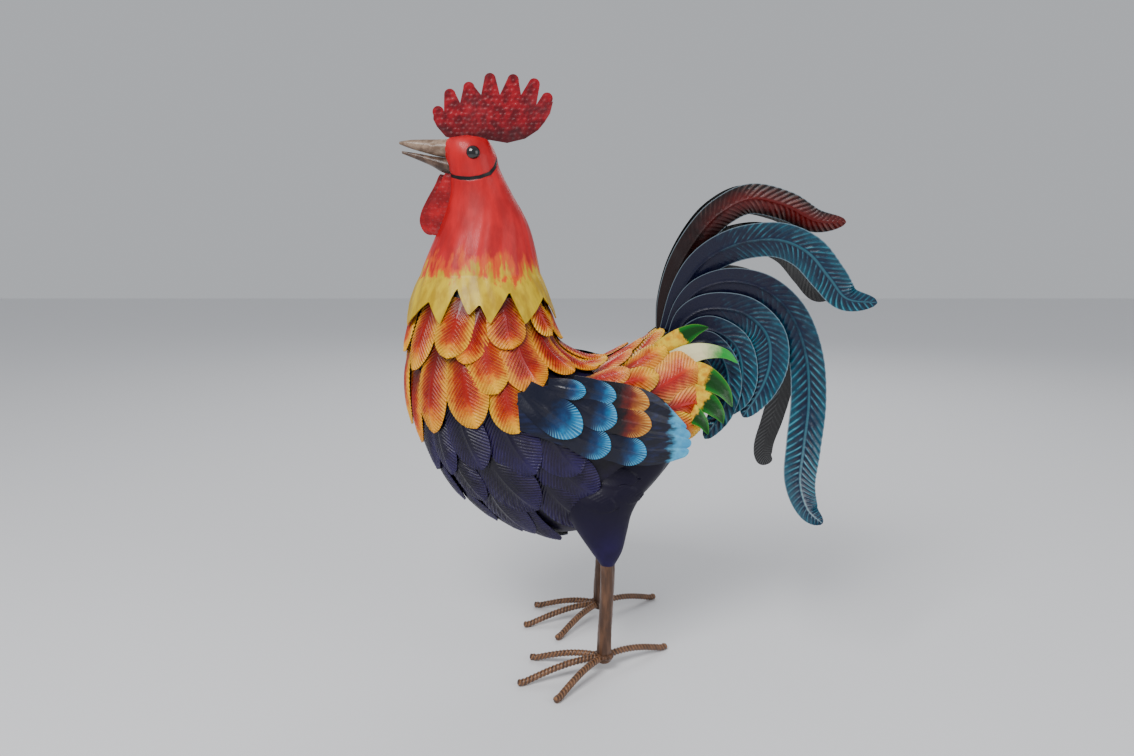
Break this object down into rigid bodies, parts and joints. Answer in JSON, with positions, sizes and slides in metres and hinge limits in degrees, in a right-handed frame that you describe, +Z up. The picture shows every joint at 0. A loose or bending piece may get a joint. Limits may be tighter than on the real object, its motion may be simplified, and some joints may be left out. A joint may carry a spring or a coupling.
{
  "type": "metal rooster sculpture",
  "caption": "Standing rooster built up from cut, pressed and painted sheet-metal feathers over a shell, on two feet of ribbed rod; a garden or shelf ornament",
  "frame": {"origin": "middle of the object's box, on the floor under the toes", "axes": "+Z up; the rooster looks along -X; its left side faces -Y"},
  "size_m": [0.4278, 0.2284, 0.55],
  "materials": {
    "violet_shell": "smooth gloss enamel, near-black violet",
    "head_red": "gloss enamel, red running into a yellow collar in streaks",
    "comb_red": "gloss enamel over a dimpled, hammered sheet",
    "beak_tan": "satin enamel, tan above and brown below",
    "wattle_red": "gloss enamel over a hammered drop",
    "eye_black": "high-gloss black",
    "hackle_orange": "gloss enamel, orange-red along the rib and yellow at the edges, over pressed barbs",
    "belly_violet": "gloss enamel, dark violet with worn light barbs",
    "saddle_orange": "gloss enamel, salmon orange to yellow, over pressed barbs",
    "wing_navy": "gloss enamel, navy with a light-blue scalloped end",
    "covert_blue": "gloss enamel, navy roots and bright blue tips with short rim strokes",
    "covert_copper": "gloss enamel, copper brown with an orange rim",
    "tail_maroon": "gloss enamel, black-brown with a red middle band",
    "tail_teal": "gloss enamel, navy to teal with pale barb lines",
    "tail_green": "gloss enamel, yellow roots to green tips",
    "thigh_violet": "smooth gloss enamel, violet",
    "leg_bronze": "bronze-brown lacquer over ribbed rod and hammered bar"
  },
  "bodies": {
    "root": {"beak_lower": "beak_tan", "beak_upper": "beak_tan", "belly_row_1": "belly_violet", "belly_row_2": "belly_violet", "belly_row_3": "belly_violet", "belly_row_4": "belly_violet", "body_shell": "violet_shell", "comb": "comb_red", "eye_left": "eye_black", "eye_right": "eye_black", "hackle_row_1": "hackle_orange", "hackle_row_2": "hackle_orange", "hackle_row_3": "hackle_orange", "neck_and_head": "head_red", "saddle_row_1": "saddle_orange", "saddle_row_2": "saddle_orange", "saddle_row_3_left": "saddle_orange", "saddle_row_3_right": "saddle_orange", "shank_left": "leg_bronze", "shank_right": "leg_bronze", "tail_coverts_left": "tail_green", "tail_coverts_right": "tail_green", "tail_inner_left": "tail_teal", "tail_inner_right": "tail_teal", "tail_long_left": "tail_teal", "tail_long_right": "tail_teal", "tail_lower_left": "tail_teal", "tail_lower_right": "tail_teal", "tail_middle_left": "tail_teal", "tail_middle_right": "tail_teal", "tail_red_left": "tail_maroon", "tail_red_right": "tail_maroon", "tail_upper_left": "tail_teal", "tail_upper_right": "tail_teal", "thigh_left": "thigh_violet", "thigh_right": "thigh_violet", "toe_hind_left": "leg_bronze", "toe_hind_right": "leg_bronze", "toe_inner_left": "leg_bronze", "toe_inner_right": "leg_bronze", "toe_middle_left": "leg_bronze", "toe_middle_right": "leg_bronze", "toe_outer_left": "leg_bronze", "toe_outer_right": "leg_bronze", "wattle_left": "wattle_red", "wattle_right": "wattle_red", "wing_coverts_left_1": "covert_blue", "wing_coverts_left_2": "covert_blue", "wing_coverts_left_3": "covert_copper", "wing_coverts_right_1": "covert_blue", "wing_coverts_right_2": "covert_blue", "wing_coverts_right_3": "covert_copper", "wing_left": "wing_navy", "wing_right": "wing_navy"}
  },
  "joints": []
}
